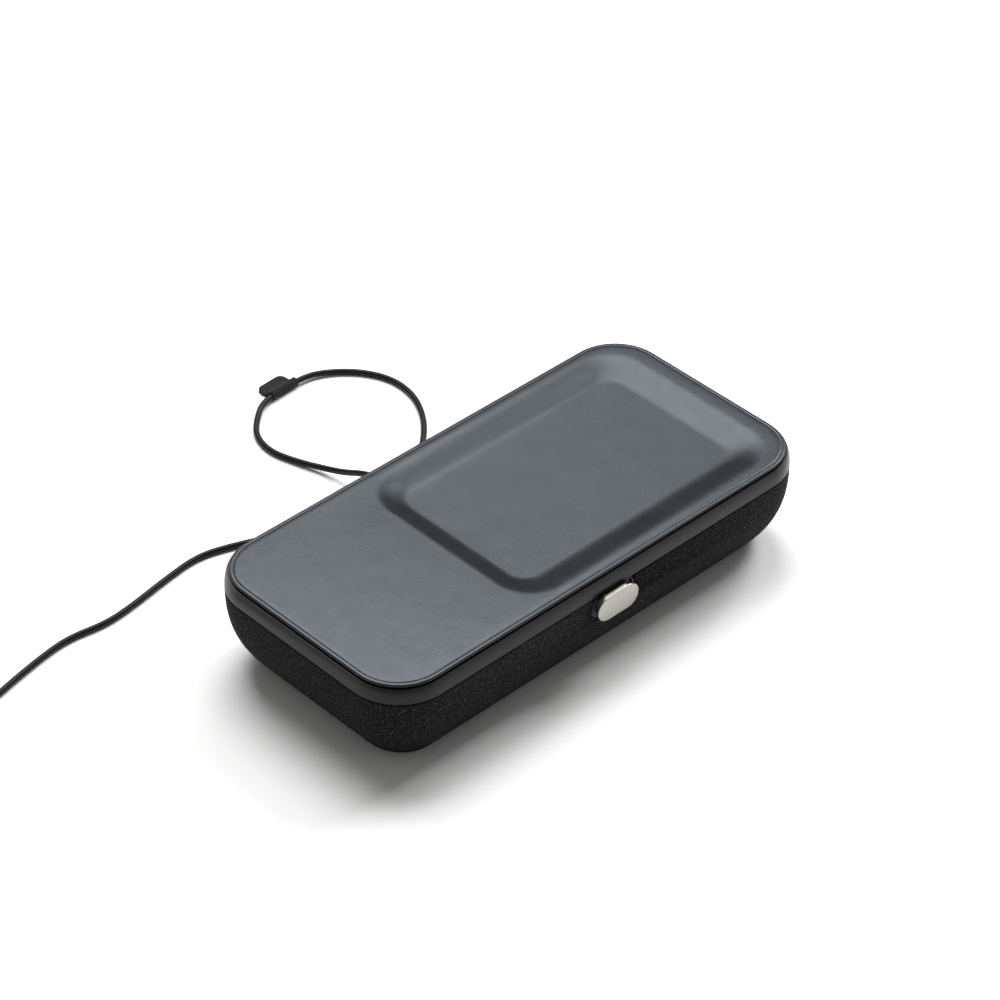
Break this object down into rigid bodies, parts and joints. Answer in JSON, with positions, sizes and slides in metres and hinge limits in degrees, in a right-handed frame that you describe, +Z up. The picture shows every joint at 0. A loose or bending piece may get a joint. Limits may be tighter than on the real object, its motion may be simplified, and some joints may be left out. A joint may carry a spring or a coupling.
{
  "type": "charging station organizer",
  "caption": "Desk organizer with a hinged leather-topped lid that has a charging zone and a valet tray, over a cloth-covered storage box with a metal push latch and a power lead.",
  "frame": {"origin": "middle of the foot's underside, on the surface that the object stands on", "axes": "+X along the case from the charging end to the tray end, +Y from the latch at the front to the hinges at the back, +Z up"},
  "size_m": [0.4043, 0.247, 0.048],
  "materials": {
    "foot_rubber": "matt black rubber",
    "shell_plastic": "moulded black plastic",
    "charcoal_fabric": "charcoal woven cloth",
    "frame_plastic": "moulded black plastic",
    "screw_steel": "plated steel",
    "liner_plastic": "fine-textured black plastic",
    "divider_plastic": "fine-textured dark plastic",
    "bezel_plastic": "satin black plastic",
    "contact_steel": "nickel-plated steel",
    "plug_plastic": "moulded black plastic",
    "circuit_board": "green circuit board",
    "ribbon_film": "amber film",
    "spring_steel": "spring steel",
    "hinge_steel": "darkened steel",
    "satin_metal": "satin silver metal",
    "band_plastic": "smooth black band",
    "black_leather": "black grained leather",
    "lining_felt": "dark felt",
    "coil_copper": "enamelled copper",
    "ferrite_ceramic": "dark ferrite",
    "pad_foam": "dark foam",
    "chip_plastic": "moulded chips",
    "cord_jacket": "black cord jacket",
    "tie_fabric": "black hook-and-loop strap"
  },
  "bodies": {
    "base": {"base_foot": "foot_rubber", "base_shell": "shell_plastic", "fabric_cover": "charcoal_fabric", "rim_frame": "frame_plastic", "frame_screws": "screw_steel", "inner_liner": "liner_plastic", "cross_divider_1": "divider_plastic", "cross_divider_2": "divider_plastic", "long_divider": "divider_plastic", "port_bezel": "bezel_plastic", "port_socket": "contact_steel", "socket_tongue": "plug_plastic", "port_board": "circuit_board", "port_screws": "screw_steel", "port_ribbon": "ribbon_film", "latch_bezel": "bezel_plastic", "latch_spring": "spring_steel", "hinge_base_leaves": "hinge_steel", "hinge_base_screws": "screw_steel", "hinge_pins": "hinge_steel", "port_plug": "plug_plastic", "port_plug_shell": "contact_steel", "power_cord": "cord_jacket", "cable_tie": "tie_fabric", "cord_coil": "cord_jacket", "cord_tail": "cord_jacket", "supply_plug": "plug_plastic", "supply_plug_shell": "contact_steel", "supply_plug_tongue": "plug_plastic"},
    "lid": {"lid_shell": "band_plastic", "leather_top": "black_leather", "lid_panel": "liner_plastic", "lid_lining": "lining_felt", "lid_screws": "screw_steel", "hinge_lid_leaves": "hinge_steel", "hinge_lid_screws": "screw_steel", "latch_striker": "hinge_steel", "striker_screws": "screw_steel", "charging_coil": "coil_copper", "ferrite_plate": "ferrite_ceramic", "foam_pad": "pad_foam", "charging_board": "circuit_board", "board_components": "chip_plastic", "board_screws": "screw_steel", "charger_ribbon": "ribbon_film"},
    "latch_button": {"latch_plate": "satin_metal", "latch_stem": "satin_metal", "latch_hook": "frame_plastic"}
  },
  "joints": [
    {"name": "lid_hinge", "type": "hinge", "parent": "base", "child": "lid", "pos_m": [0, 0.06, 0.0393], "axis": [-1, 0, 0], "range_deg": [0, 100]},
    {"name": "latch_slide", "type": "slide", "parent": "base", "child": "latch_button", "axis": [0, 1, 0], "range_m": [0, 0.002], "stiffness_N_per_m": 500, "springref_m": -0.001, "deforming": ["latch_spring"]}
  ]
}
